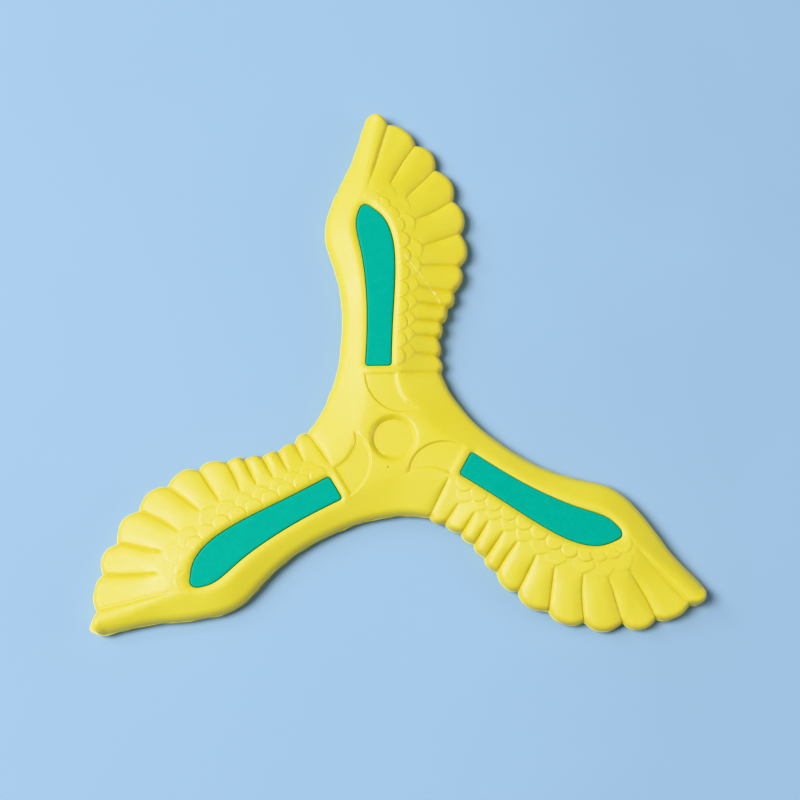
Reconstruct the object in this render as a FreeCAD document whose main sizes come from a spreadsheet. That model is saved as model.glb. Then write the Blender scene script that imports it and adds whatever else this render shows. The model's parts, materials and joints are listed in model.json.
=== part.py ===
"""Three-winged soft foam boomerang shaped like feathered wings, with a coloured insert in each wing.

Frame: the hub's axis is Z, the flat underside lies on Z = 0 and wing 1 points along +Y. Millimetres.
A third of the foam body is modelled on wing 1 and patterned round the axis; the inserts repeat too.
"""

import FreeCAD, Part
import math
import os

V = FreeCAD.Vector

SIZES = {
    "wing_count": 3,
    "reach": 150.8,  # hub axis to the wing's tip
    "chord": 56.0,  # leading edge to the longest feather, where the wing is widest
    "body_height": 12.2,  # underside to the flat top of the hub
    "edge_height": 7.4,  # thickness left at the feathers' ends
    "nose_radius": 4.5,  # upper rounding along the leading edge
    "under_radius": 1.8,  # lower rounding along the leading edge
    "finger_radius": 5.2,  # rounded end of the outermost feather
    "crest_inset": 3.0,  # where the slope down to the feathers starts, right of the wing's centre line
    "corner_radius": 37.2,  # hub axis to the corner where two wings meet
    "corner_angle": 54.3,  # that corner's bearing from +X, in degrees
    "groove_side": 2.6,  # side of the square whose corner cuts the grooves between feathers
    "groove_depth": 1.3,  # depth of those grooves at the feathers' ends
    "insert_start": 32.5,  # hub axis to the square end of the insert
    "tip_margin": 44.6,  # pointed end of the insert to the wing's tip
    "insert_width": 16.7,  # widest distance across the insert
    "insert_thickness": 2.0,
    "insert_edge": 0.5,  # rounding of the insert's upper edge
    "insert_sink": 0.9,  # top of the hub down to the insert's face
    "insert_gap": 0.35,  # clearance round the insert in its recess
    "film_thickness": 0.2,
    "film_inset": 0.8,  # the adhesive stops this far inside the insert's edge
    "petal_wall": 3.5,  # foam between the insert's square end and the hub's crescent recess
    "petal_depth": 0.75,
    "dish_radius": 10.8,
    "dish_floor_radius": 8.4,
    "dish_depth": 2.0,
}

# The wing as drawn, before it is stretched to the sizes above.
DRAWN_REACH = 150.8
DRAWN_CHORD = 56.0
DRAWN_INSERT_END = 106.2
DRAWN_INSERT_START = 32.5
DRAWN_INSERT_WIDTH = 16.7
ROOT = 30.0  # the wing stretches outside this distance from the axis
HUB_END = 12.0  # the wing starts to widen here, and widens in full at ROOT
SLOPE_STARTS = 26.0  # the fall towards the feathers begins at this distance from the axis
SLOPE_IN_FULL = 48.0
FEATHER_SHARE = 0.62  # part of the chord that lies on the feathers' side of the wing's line
SPARE = 1.0  # how far a cutter stands clear of what it cuts

TIP_CENTRE = (-4.6, 145.6)
TIP_BEARINGS = [154.0, 94.0, 4.0]  # the round end meets the leading edge, its top, and its notch
# Each feather's rounded end, then the notch after it, from the tip inwards.
FEATHERS = [
    ((9.0, 142.5), (12.8, 136.0)),
    ((19.6, 132.2), (21.3, 124.4)),
    ((28.0, 119.3), (29.0, 109.6)),
    ((33.5, 103.3), (32.1, 94.1)),
    ((34.7, 86.8), (31.3, 78.7)),
    ((31.9, 73.0), (28.4, 66.9)),
    ((28.3, 63.0), (25.6, 59.7)),
    ((25.3, 56.9), (22.6, 52.7)),
    ((23.0, 49.8), (20.9, 45.7)),
    ((21.9, 41.6), (20.7, 37.4)),
    ((22.3, 33.8), None),  # the last one ends at the corner between the wings
]
LEADING = [
    (-29.5, 14.4),
    (-23.9, 29.0),
    (-20.8, 53.0),
    (-23.1, 75.5),
    (-27.9, 93.0),
    (-24.3, 109.5),
    (-14.9, 131.5),
]
# Inner ends of the grooves between the feathers; each runs out to the notch of the same place.
GROOVE_ROOTS = [
    (-7.5, 119.7),
    (0.8, 115.5),
    (9.5, 111.0),
    (11.0, 99.0),
    (14.5, 87.0),
    (13.7, 78.0),
    (12.5, 68.5),
    (11.5, 61.0),
    (10.5, 53.0),
    (10.0, 46.0),
    (10.0, 38.0),
]
INSERT_LEADING = [(-10.6, 34.0), (-10.3, 60.0), (-12.5, 85.0), (-14.5, 97.0), (-13.1, 103.4)]
INSERT_POINT = [(-13.1, 103.4), (-11.2, 106.2), (-8.2, 105.2)]
INSERT_TRAILING = [(-8.2, 105.2), (-2.6, 100.4), (1.3, 91.0), (2.2, 80.0), (1.2, 60.0), (-0.3, 34.0)]
# The crescent recess beside the hub's dish, which shares its outer corners with a straight edge.
PETAL_OUTER = [(-12.3, 29.0), (-9.6, 19.4), (-1.0, 12.0), (11.0, 13.0)]
PETAL_INNER = [(11.0, 13.0), (5.3, 17.6), (2.2, 29.0)]

doc = FreeCAD.newDocument("Boomerang")
sheet = doc.addObject("Spreadsheet::Sheet", "Sizes")
for row, (alias, number) in enumerate(SIZES.items(), start=1):
    sheet.set(f"A{row}", alias)
    sheet.set(f"B{row}", str(number))
    sheet.setAlias(f"B{row}", alias)
doc.recompute()


def size(alias):
    """A driving dimension as a number."""
    return float(getattr(sheet, alias))


def bind(thing, **expressions):
    """Bind properties of an object to formulas in the sheet's names."""
    for name, formula in expressions.items():
        words = [f"Sizes.{word}" if word in SIZES else word for word in formula.split()]
        thing.setExpression(name, " ".join(words))


def stretched(point):
    """A point of the drawn wing, moved to the wanted reach and chord."""
    across, along = point
    share = min(max((along - HUB_END) / (ROOT - HUB_END), 0.0), 1.0)
    widened = across * (1.0 + share * (size("chord") / DRAWN_CHORD - 1.0))
    if along <= ROOT:
        return (widened, along)
    return (widened, ROOT + (along - ROOT) * (size("reach") - ROOT) / (DRAWN_REACH - ROOT))


def insert_point(point):
    """A point of the drawn insert, moved to the insert's own width and to both its ends."""
    across, along = point
    far_end = size("reach") - size("tip_margin")
    share = (along - DRAWN_INSERT_START) / (DRAWN_INSERT_END - DRAWN_INSERT_START)
    start = size("insert_start")
    return (across * size("insert_width") / DRAWN_INSERT_WIDTH, start + share * (far_end - start))


def outset(points, before, after, distance):
    """Points moved sideways to the left of their run, which goes on to the points before and after."""
    run = [before, *points, after]
    moved = []
    for back, here, ahead in zip(run, run[1:], run[2:]):
        step = V(ahead[0] - back[0], ahead[1] - back[1], 0).normalize()
        moved.append((here[0] - step.y * distance, here[1] + step.x * distance))
    return moved


def spline(points):
    """A smooth curve through a few points."""
    curve = Part.BSplineCurve()
    curve.interpolate([V(x, y, 0) for x, y in points])
    return curve


def line(start, end):
    """A straight edge between two points of a plan or section."""
    return Part.LineSegment(V(*start, 0), V(*end, 0))


def arc(start, middle, end):
    """The arc of a circle through three points."""
    return Part.Arc(V(*start, 0), V(*middle, 0), V(*end, 0))


def corner_points():
    """The hub's corner on the feather side of wing 1, and the one on its leading side."""
    bearing = math.radians(size("corner_angle"))
    turn = 2 * math.pi / size("wing_count")
    far = size("corner_radius")
    return [(far * math.cos(b), far * math.sin(b)) for b in (bearing, bearing + turn)]


def tip_points():
    """The wing's round end: where its leading edge stops, its furthest point and its notch."""
    across, along = stretched(TIP_CENTRE)
    far = size("finger_radius")
    bearings = [math.radians(b) for b in TIP_BEARINGS]
    return [(across + far * math.cos(b), along + far * math.sin(b)) for b in bearings]


def notches():
    """Where the feathers part, from the tip's own notch to the corner between the wings."""
    inner = [stretched(notch) for _, notch in FEATHERS[:-1]]
    return [tip_points()[2], *inner, corner_points()[0]]


def third_outline():
    """One wing with its third of the hub: hub axis, corner, feathers, tip and leading edge."""
    feather_corner, leading_corner = corner_points()
    cuts = notches()
    edges = [line((0, 0), feather_corner)]
    for (middle, _), outer, inner in reversed(list(zip(FEATHERS, cuts, cuts[1:]))):
        edges.append(arc(inner, stretched(middle), outer))
    leading_end, tip_top, tip_notch = tip_points()
    edges.append(arc(tip_notch, tip_top, leading_end))
    edges.append(spline([leading_corner, *[stretched(p) for p in LEADING], leading_end]))
    edges.append(line(leading_corner, (0, 0)))
    return edges


def insert_outline(distance):
    """The insert's outline, moved outwards by a clearance or inwards by a negative one."""
    leading = [insert_point(p) for p in INSERT_LEADING]
    point = [insert_point(p) for p in INSERT_POINT]
    trailing = [insert_point(p) for p in INSERT_TRAILING]
    leading_out = outset(leading, (leading[0][0], 0), point[1], distance)
    trailing_out = outset(trailing, point[1], (trailing[-1][0], 0), distance)
    tip_out = outset([point[1]], point[0], point[2], distance)[0]
    bottom = size("insert_start") - distance
    left, right = leading_out[0], trailing_out[-1]
    corner = left[1] - bottom
    lean = corner * (1.0 - math.sqrt(0.5))
    return [
        spline(leading_out),
        arc(leading_out[-1], tip_out, trailing_out[0]),
        spline(trailing_out),
        arc(right, (right[0] - lean, bottom + lean), (right[0] - corner, bottom)),
        line((right[0] - corner, bottom), (left[0] + corner, bottom)),
        arc((left[0] + corner, bottom), (left[0] + lean, bottom + lean), left),
    ]


def petal_outline():
    """The hub's crescent, whose straight edge keeps its distance from the insert's square end."""
    shift = size("insert_start") - size("petal_wall") - PETAL_OUTER[0][1]
    outer = [(PETAL_OUTER[0][0], PETAL_OUTER[0][1] + shift), *PETAL_OUTER[1:]]
    inner = [*PETAL_INNER[:-1], (PETAL_INNER[-1][0], PETAL_INNER[-1][1] + shift)]
    return [spline(outer), spline(inner), line(inner[-1], outer[0])]


def origin_item(body, role):
    """A body's own origin plane or axis."""
    return next(item for item in body.Origin.OriginFeatures if item.Role == role)


def sketch(body, name, geometry, plane="XY_Plane", lift=None):
    """A sketch on one of the body's own planes, lifted off it by a formula."""
    drawn = body.newObject("Sketcher::SketchObject", name)
    drawn.AttachmentSupport = [(origin_item(body, plane), "")]
    drawn.MapMode = "FlatFace"
    drawn.addGeometry(geometry, False)
    if lift:
        bind(drawn, **{"AttachmentOffset.Base.z": lift})
    return drawn


def pad(body, name, profile, length):
    """A solid raised from a sketch by a formula's length."""
    solid = body.newObject("PartDesign::Pad", name)
    solid.Profile = profile
    bind(solid, Length=length)
    doc.recompute()
    return solid


def pocket(body, name, profile, length):
    """A recess cut down from the plane of its sketch."""
    cut = body.newObject("PartDesign::Pocket", name)
    cut.Profile = profile
    bind(cut, Length=length)
    doc.recompute()
    return cut


def polar_pattern(body, name, features, whole=False):
    """Repeat features, or the whole solid, once for each wing."""
    pattern = body.newObject("PartDesign::PolarPattern", name)
    pattern.TransformMode = "Whole shape" if whole else "Features"
    if not whole:
        pattern.Originals = features
    pattern.Axis = (origin_item(body, "Z_Axis"), [""])
    pattern.Angle = 360
    bind(pattern, Occurrences="wing_count")
    body.Tip = pattern
    doc.recompute()
    return pattern


def edges_at(solid, height, kinds):
    """Names of the edges of certain curve kinds that lie wholly at one height."""
    found = []
    for number, edge in enumerate(solid.Shape.Edges, start=1):
        box = edge.BoundBox
        if abs(box.ZMin - height) < 1e-4 and abs(box.ZMax - height) < 1e-4:
            if edge.Curve.TypeId in kinds:
                found.append(f"Edge{number}")
    return found


def fillet(body, name, base, edges, radius):
    """Named edges of a feature, rounded to a formula's radius."""
    round_edge = body.newObject("PartDesign::Fillet", name)
    round_edge.Base = (base, edges)
    bind(round_edge, Radius=radius)
    doc.recompute()
    return round_edge


def fall(across):
    """How far the upper side has dropped at a place on the feathers' side of the wing."""
    crest = size("crest_inset")
    feather_end = size("chord") * FEATHER_SHARE
    steepness = (size("body_height") - size("edge_height")) / (feather_end - crest)
    return steepness * max(across - crest, 0.0)


def feather_slope(body):
    """The upper side falls from the wing's crest to the feathers' ends, and fades out at the hub."""
    beyond = size("chord")
    stations = [(SLOPE_STARTS, 0.05), (SLOPE_IN_FULL, 1.0), (size("reach") + SPARE, 1.0)]
    crest, top = size("crest_inset"), size("body_height")
    sections = []
    for number, (along, share) in enumerate(stations, start=1):
        low = top - share * fall(beyond)
        corners = [(crest, top), (crest, top + SPARE), (beyond, top + SPARE), (beyond, low)]
        geometry = [line(a, b) for a, b in zip(corners, corners[1:] + corners[:1])]
        drawn = sketch(body, f"SlopeSection{number}", geometry, "XZ_Plane")
        drawn.AttachmentOffset = FreeCAD.Placement(V(0, 0, -along), FreeCAD.Rotation())
        sections.append(drawn)
    slope = body.newObject("PartDesign::SubtractiveLoft", "FeatherSlope")
    slope.Profile = sections[0]
    slope.Sections = sections[1:]
    slope.Ruled = True
    doc.recompute()


def feather_grooves(body):
    """Straight V grooves that deepen from the wing's middle out to the notches."""
    top = size("body_height")
    for number, (root, notch) in enumerate(zip(GROOVE_ROOTS, notches()), start=1):
        inner = stretched(root)
        start = V(*inner, top - fall(inner[0]))
        run = V(*notch, top - fall(notch[0]) - size("groove_depth")) - start
        cutter = body.newObject("PartDesign::SubtractiveBox", f"FeatherGroove{number}")
        cutter.Length = run.Length + size("groove_side")
        bind(cutter, Width="groove_side", Height="groove_side")
        aim = FreeCAD.Rotation(run, V(), V(0, 0, 1), "XZY")
        cutter.Placement = FreeCAD.Placement(start, aim.multiply(FreeCAD.Rotation(V(1, 0, 0), 45)))
        doc.recompute()


def hub_dish(body):
    """The round thumb dish on the hub's axis, with a rounded wall."""
    top = size("body_height")
    floor = top - size("dish_depth")
    rim, flat = size("dish_radius"), size("dish_floor_radius")
    middle = (flat + 0.7 * (rim - flat), floor + 0.35 * size("dish_depth"))
    above = top + SPARE
    geometry = [
        line((0, floor), (flat, floor)),
        arc((flat, floor), middle, (rim, top)),
        line((rim, top), (rim, above)),
        line((rim, above), (0, above)),
        line((0, above), (0, floor)),
    ]
    drawn = sketch(body, "DishSketch", geometry, "XZ_Plane")
    dish = body.newObject("PartDesign::Groove", "HubDish")
    dish.Profile = drawn
    dish.ReferenceAxis = (drawn, ["V_Axis"])
    dish.Angle = 360
    body.Tip = dish
    doc.recompute()


def make_foam_body():
    """The moulded foam: a third with its wing, patterned round the hub, then the hub's recesses."""
    body = doc.addObject("PartDesign::Body", "FoamBody")
    body.Label = "foam_body"
    outline = sketch(body, "ThirdOutline", third_outline())
    blank = pad(body, "Blank", outline, "body_height")
    smooth = ["Part::GeomBSplineCurve"]
    nose = edges_at(blank, size("body_height"), smooth)
    rounded = fillet(body, "NoseRounding", blank, nose, "nose_radius")
    fillet(body, "UnderRounding", rounded, edges_at(rounded, 0.0, smooth), "under_radius")
    feather_slope(body)
    feather_grooves(body)
    recess = sketch(body, "RecessOutline", insert_outline(size("insert_gap")), lift="body_height")
    depth = "insert_sink + insert_thickness + film_thickness"
    pocket(body, "InsertRecess", recess, depth)
    polar_pattern(body, "Wings", [], whole=True)
    petal = sketch(body, "PetalOutline", petal_outline(), lift="body_height")
    crescent = pocket(body, "PetalRecess", petal, "petal_depth")
    polar_pattern(body, "Petals", [crescent])
    hub_dish(body)
    return body


def place_on_wing(body, number, height):
    """Turn a piece drawn on wing 1 to its own wing and set its height."""
    body.Placement.Rotation = FreeCAD.Rotation(V(0, 0, 1), -(number - 1) * 360 / size("wing_count"))
    bind(body, **{"Placement.Base.z": height})


def make_film(number):
    """The adhesive film between the recess's floor and the insert."""
    body = doc.addObject("PartDesign::Body", f"Film{number}")
    body.Label = f"adhesive_film_{number}"
    outline = sketch(body, f"FilmOutline{number}", insert_outline(-size("film_inset")))
    pad(body, f"FilmPad{number}", outline, "film_thickness")
    floor = "body_height - insert_sink - insert_thickness - film_thickness"
    place_on_wing(body, number, floor)
    return body


def make_insert(number):
    """The die-cut sheet foam insert, with its upper edge rounded over."""
    body = doc.addObject("PartDesign::Body", f"Insert{number}")
    body.Label = f"insert_{number}"
    outline = sketch(body, f"InsertOutline{number}", insert_outline(0.0))
    blank = pad(body, f"InsertPad{number}", outline, "insert_thickness")
    kinds = ["Part::GeomBSplineCurve", "Part::GeomCircle", "Part::GeomLine"]
    rim = edges_at(blank, size("insert_thickness"), kinds)
    fillet(body, f"InsertEdge{number}", blank, rim, "insert_edge")
    place_on_wing(body, number, "body_height - insert_sink - insert_thickness")
    return body


def check_document():
    """Stop at the first object that FreeCAD could not compute."""
    for item in doc.Objects:
        if "Invalid" in item.State or "Error" in item.State:
            raise RuntimeError(f"{item.Name} failed: {item.State}")


def export(pieces):
    """Write each sub-part to its own file, once its shape is sound."""
    os.makedirs("parts", exist_ok=True)
    for piece in pieces:
        if piece.Shape.isNull() or not piece.Shape.isValid() or len(piece.Shape.Solids) != 1:
            raise RuntimeError(f"{piece.Label} has no sound solid")
    for piece in pieces:
        piece.Shape.exportStep(os.path.join("parts", f"{piece.Label}.step"))
        print(f"{piece.Label}: {piece.Shape.Volume / 1000:.2f} cm3")


pieces = [make_foam_body()]
for wing in range(1, int(size("wing_count")) + 1):
    pieces.append(make_film(wing))
    pieces.append(make_insert(wing))
doc.recompute()
check_document()
export(pieces)
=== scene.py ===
"""Looks of a soft foam boomerang with three feathered wings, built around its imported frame."""

import json
import logging
import math
from collections.abc import Iterable
from dataclasses import dataclass, field
from enum import Enum
from functools import cached_property

import bpy
import numpy as np
from mathutils import Matrix, Vector
from mathutils.geometry import delaunay_2d_cdt

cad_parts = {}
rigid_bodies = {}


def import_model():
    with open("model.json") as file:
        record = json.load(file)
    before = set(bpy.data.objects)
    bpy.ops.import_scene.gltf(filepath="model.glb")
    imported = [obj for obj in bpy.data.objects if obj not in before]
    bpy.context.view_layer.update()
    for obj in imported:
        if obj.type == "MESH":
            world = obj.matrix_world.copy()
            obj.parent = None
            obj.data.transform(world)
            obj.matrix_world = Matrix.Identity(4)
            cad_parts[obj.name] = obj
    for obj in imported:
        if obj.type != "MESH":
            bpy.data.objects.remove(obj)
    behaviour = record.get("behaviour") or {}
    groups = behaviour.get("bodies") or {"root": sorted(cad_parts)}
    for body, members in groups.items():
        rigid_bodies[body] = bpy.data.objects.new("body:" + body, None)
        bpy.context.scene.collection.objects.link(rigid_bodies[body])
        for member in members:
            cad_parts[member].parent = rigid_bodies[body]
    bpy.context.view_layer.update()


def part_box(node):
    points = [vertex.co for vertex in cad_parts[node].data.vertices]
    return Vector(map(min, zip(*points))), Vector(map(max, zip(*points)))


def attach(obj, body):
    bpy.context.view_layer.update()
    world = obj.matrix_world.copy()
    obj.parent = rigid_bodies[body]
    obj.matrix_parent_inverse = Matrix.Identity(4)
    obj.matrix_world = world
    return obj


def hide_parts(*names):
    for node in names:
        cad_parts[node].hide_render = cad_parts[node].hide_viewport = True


logging.basicConfig(level=logging.INFO, format="%(message)s")
log = logging.getLogger("boomerang")

MM = 0.001  # the plan is worked out in millimetres, and Blender holds metres
FAR = 1e9  # further than anything on the part
SHARP_ANGLE = math.radians(48)  # edges turned by more than this are shaded as creases
WINGS = 3
TURN = 2 * math.pi / WINGS

Point = tuple[float, float]
Place = tuple[float, float, float]
Colour = tuple[float, float, float, float]


# ---------------------------------------------------------------- plan curves


def rotated(points: np.ndarray, turns: float) -> np.ndarray:
    """Turn plan points clockwise round the hub by some number of wings.

    Args:
        points: Plan points, one a row.
        turns: How many wings to turn by.

    Returns:
        The turned points.
    """
    angle = -TURN * turns
    cos, sin = math.cos(angle), math.sin(angle)
    return points @ np.array([[cos, sin], [-sin, cos]])


def smooth_path(points: list[Point], step: float) -> np.ndarray:
    """A natural cubic curve through a few chosen points, sampled evenly.

    Args:
        points: The points that the curve passes.
        step: Roughly how far apart the samples are.

    Returns:
        The samples, ends included.
    """
    knots = np.array(points, float)
    along = np.concatenate([[0.0], np.cumsum(np.hypot(*np.diff(knots, axis=0).T))])
    gaps = np.diff(along)
    count = len(knots)
    system, wanted = np.eye(count), np.zeros((count, 2))
    slopes = np.diff(knots, axis=0) / gaps[:, None]
    for i in range(1, count - 1):
        system[i, i - 1 : i + 2] = gaps[i - 1], 2 * (gaps[i - 1] + gaps[i]), gaps[i]
        wanted[i] = 6 * (slopes[i] - slopes[i - 1])
    bend = np.linalg.solve(system, wanted)
    samples = max(int(round(along[-1] / step)), 2)
    t = np.linspace(0.0, along[-1], samples + 1)
    i = np.clip(np.searchsorted(along, t, side="right") - 1, 0, count - 2)
    a, b = (along[i + 1] - t)[:, None], (t - along[i])[:, None]
    h = gaps[i][:, None]
    curve = (bend[i] * a**3 + bend[i + 1] * b**3) / (6 * h)
    curve += (knots[i] / h - bend[i] * h / 6) * a + (knots[i + 1] / h - bend[i + 1] * h / 6) * b
    return curve


def straight_path(points: list[Point], step: float) -> np.ndarray:
    """Straight runs between points, sampled evenly.

    Args:
        points: The corners in order.
        step: Roughly how far apart the samples are.

    Returns:
        The samples, ends included.
    """
    runs = []
    for start, end in zip(points, points[1:]):
        count = max(int(round(math.dist(start, end) / step)), 1)
        runs.append(np.linspace(start, end, count + 1)[:-1])
    return np.vstack([*runs, [points[-1]]])


def joined(*paths: np.ndarray) -> np.ndarray:
    """Paths end to end, with each shared point kept once."""
    return np.vstack([paths[0], *[p[1:] for p in paths[1:]]])


def left_normals(path: np.ndarray, closed: bool = False) -> np.ndarray:
    """Unit normals to the left of a path, from each sample's neighbours.

    Args:
        path: The samples in order.
        closed: Whether the last joins the first.

    Returns:
        One normal for each sample.
    """
    if closed:
        step = np.roll(path, -1, axis=0) - np.roll(path, 1, axis=0)
    else:
        step = np.gradient(path, axis=0)
    step /= np.maximum(np.hypot(*step.T), 1e-9)[:, None]
    return np.column_stack([-step[:, 1], step[:, 0]])


def distance_to(points: np.ndarray, path: np.ndarray) -> tuple[np.ndarray, np.ndarray]:
    """How far points lie from a path of straight segments.

    Args:
        points: Plan points.
        path: The path's samples.

    Returns:
        Each point's distance, and how far along the path its nearest place is.
    """
    start, run = path[:-1], np.diff(path, axis=0)
    length = np.hypot(*run.T)
    reached = np.concatenate([[0.0], np.cumsum(length)])[:-1]
    near = np.empty(len(points))
    along = np.empty(len(points))
    for low in range(0, len(points), 4000):
        part = points[low : low + 4000]
        gap = part[:, None, :] - start[None]
        share = np.clip((gap * run[None]).sum(2) / np.maximum(length**2, 1e-12), 0, 1)
        off = gap - share[..., None] * run[None]
        square = (off**2).sum(2)
        best = square.argmin(1)
        rows = np.arange(len(part))
        near[low : low + 4000] = np.sqrt(square[rows, best])
        along[low : low + 4000] = reached[best] + share[rows, best] * length[best]
    return near, along


def inside(points: np.ndarray, loop: np.ndarray) -> np.ndarray:
    """Which points lie inside a closed loop.

    Args:
        points: Plan points.
        loop: The loop's corners, the first not repeated.

    Returns:
        True for each point inside.
    """
    x, y = points[:, 0][:, None], points[:, 1][:, None]
    x0, y0 = loop[:, 0][None], loop[:, 1][None]
    x1, y1 = np.roll(loop[:, 0], -1)[None], np.roll(loop[:, 1], -1)[None]
    crosses = (y0 > y) != (y1 > y)
    with np.errstate(divide="ignore", invalid="ignore"):
        at = (x1 - x0) * (y - y0) / (y1 - y0) + x0
    return (crosses & (x < at)).sum(1) % 2 == 1


def eased(value: np.ndarray, low: float, high: float) -> np.ndarray:
    """A smooth step from 0 at low to 1 at high."""
    t = np.clip((value - low) / (high - low), 0.0, 1.0)
    return t * t * (3 - 2 * t)


def ridge(distance: np.ndarray, width: float) -> np.ndarray:
    """A bell: 1 at no distance, falling off over a width."""
    return np.exp(-((distance / width) ** 2))


def closed_up(loop: np.ndarray) -> np.ndarray:
    """A loop with its first point repeated at the end."""
    return np.vstack([loop, loop[:1]])


def facing(points: np.ndarray, faces: np.ndarray, up: bool = True) -> np.ndarray:
    """Triangles turned so that they all face one way.

    Args:
        points: Plan points.
        faces: Corner numbers of each triangle.
        up: True to face up, False to face down.

    Returns:
        The triangles, some with their order reversed.
    """
    a, b, c = (points[faces[:, i]] for i in range(3))
    area = (b[:, 0] - a[:, 0]) * (c[:, 1] - a[:, 1]) - (b[:, 1] - a[:, 1]) * (c[:, 0] - a[:, 0])
    wrong = area < 0 if up else area > 0
    faces[wrong] = faces[wrong][:, ::-1]
    return faces


def round_over(depth: np.ndarray, width: np.ndarray | float) -> np.ndarray:
    """A quarter-ellipse edge: 0 at the edge, 1 from the given width inwards."""
    t = np.clip(depth / width, 0.0, 1.0)
    return np.sqrt(np.clip(1 - (1 - t) ** 2, 0.0, 1.0))


def chamfered(depth: np.ndarray, width: np.ndarray | float, nose: float, share: float) -> np.ndarray:
    """A rounded nose followed by an even slope up to a soft crest.

    Args:
        depth: Distance in from the edge.
        width: Where the crest is.
        nose: Radius of the nose.
        share: How much of the full height the nose takes.

    Returns:
        0 at the edge and 1 well inside the crest.
    """
    short = 1 - depth / width
    slope = 1 - (1 - share) * 0.5 * (short + np.sqrt(short**2 + 0.02))
    return slope * round_over(depth, nose)


def ripple(points: np.ndarray, wavelength: float, seed: int, waves: int = 14) -> np.ndarray:
    """Soft seeded unevenness between about -1 and 1.

    Args:
        points: Plan points.
        wavelength: The typical distance between crests.
        seed: Seed of the draw.
        waves: How many plane waves are summed.

    Returns:
        One value for each point.
    """
    draw = np.random.default_rng(seed)
    angle = draw.uniform(0, 2 * math.pi, waves)
    pitch = 2 * math.pi / (wavelength * draw.uniform(0.6, 1.7, waves))
    phase = draw.uniform(0, 2 * math.pi, waves)
    total = np.zeros(len(points))
    for a, p, f in zip(angle, pitch, phase):
        total += np.sin(p * (points[:, 0] * math.cos(a) + points[:, 1] * math.sin(a)) + f)
    return total / math.sqrt(waves * 2)


# ---------------------------------------------------------------- plan meshes


class PlanMesh:
    """Plan points and edges that are triangulated together."""

    def __init__(self, cell: float = 1.5) -> None:
        """Start with no points.

        Args:
            cell: Size of the grid that finds neighbours; no spacing may be larger.
        """
        self.points: list[Point] = []
        self.edges: list[tuple[int, int]] = []
        self.cell = cell
        self.grid: dict[tuple[int, int], list[int]] = {}

    def _put(self, x: float, y: float) -> int:
        """Store a point and return its number."""
        self.points.append((x, y))
        key = (math.floor(x / self.cell), math.floor(y / self.cell))
        self.grid.setdefault(key, []).append(len(self.points) - 1)
        return len(self.points) - 1

    def _crowded(self, x: float, y: float, spacing: float) -> bool:
        """Whether a stored point lies within a spacing."""
        i, j = math.floor(x / self.cell), math.floor(y / self.cell)
        square = spacing * spacing
        for key in ((i + di, j + dj) for di in (-1, 0, 1) for dj in (-1, 0, 1)):
            for number in self.grid.get(key, ()):
                px, py = self.points[number]
                if (px - x) ** 2 + (py - y) ** 2 < square:
                    return True
        return False

    def path(self, samples: np.ndarray, closed: bool = False) -> list[int]:
        """Add a line of points joined by edges that the triangles keep.

        Args:
            samples: The points in order.
            closed: Whether the last joins the first.

        Returns:
            The points' numbers.
        """
        numbers = [self._put(float(x), float(y)) for x, y in samples]
        self.edges += list(zip(numbers, numbers[1:]))
        if closed:
            self.edges.append((numbers[-1], numbers[0]))
        return numbers

    def fill(self, candidates: np.ndarray, spacing: float) -> None:
        """Add the points that keep a spacing from those already stored.

        Args:
            candidates: The points to try, in order.
            spacing: The least distance between points.
        """
        for x, y in candidates:
            if not self._crowded(float(x), float(y), spacing):
                self._put(float(x), float(y))

    def triangles(self) -> tuple[np.ndarray, np.ndarray, dict[int, int]]:
        """Triangulate everything.

        Returns:
            The points, the triangles, and each added point's number among the returned ones.
        """
        flat = [Vector(p) for p in self.points]
        made = delaunay_2d_cdt(flat, self.edges, [], 0, 1e-7)
        points = np.array([(v.x, v.y) for v in made[0]])
        place = {number: new for new, old in enumerate(made[3]) for number in old}
        return points, np.array(made[2]), place


def hex_grid(low: Point, high: Point, spacing: float) -> np.ndarray:
    """Points of an even triangular grid over a rectangle.

    Args:
        low: The rectangle's lowest corner.
        high: The rectangle's highest corner.
        spacing: The distance between neighbours.

    Returns:
        The grid's points.
    """
    rise = spacing * math.sqrt(3) / 2
    rows = np.arange(low[1], high[1], rise)
    columns = np.arange(low[0], high[0], spacing)
    x, y = np.meshgrid(columns, rows)
    x[1::2] += spacing / 2
    return np.column_stack([x.ravel(), y.ravel()])


# ---------------------------------------------------------------- the wing as drawn

# All in millimetres, for the wing along +Y with its feathers towards +X.
CORNER_RADIUS, CORNER_BEARING = 37.2, math.radians(54.3)
LEADING_EDGE: list[Point] = [
    (-31.0, 12.0), (-27.6, 19.2), (-24.6, 27.5), (-22.4, 37.5), (-21.3, 48.0), (-21.0, 57.0),
    (-21.8, 66.0), (-23.7, 75.5), (-26.3, 84.0), (-28.0, 90.5), (-28.2, 96.0), (-26.9, 103.0),
    (-24.4, 110.0), (-20.1, 119.7), (-16.5, 127.0), (-13.9, 134.0), (-11.9, 140.3), (-9.8, 147.0),
]  # fmt: skip
TIP_END: list[Point] = [(-9.8, 147.0), (-8.2, 149.7), (-5.0, 150.8), (-1.9, 149.6), (0.6, 146.0)]
NOTCHES: list[Point] = [
    (0.6, 146.0), (12.8, 136.0), (21.3, 124.4), (29.0, 109.6), (32.1, 94.1), (31.3, 78.7),
    (28.4, 66.9), (25.6, 59.7), (22.6, 52.7), (20.9, 45.7), (20.7, 37.4),
]  # fmt: skip
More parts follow.
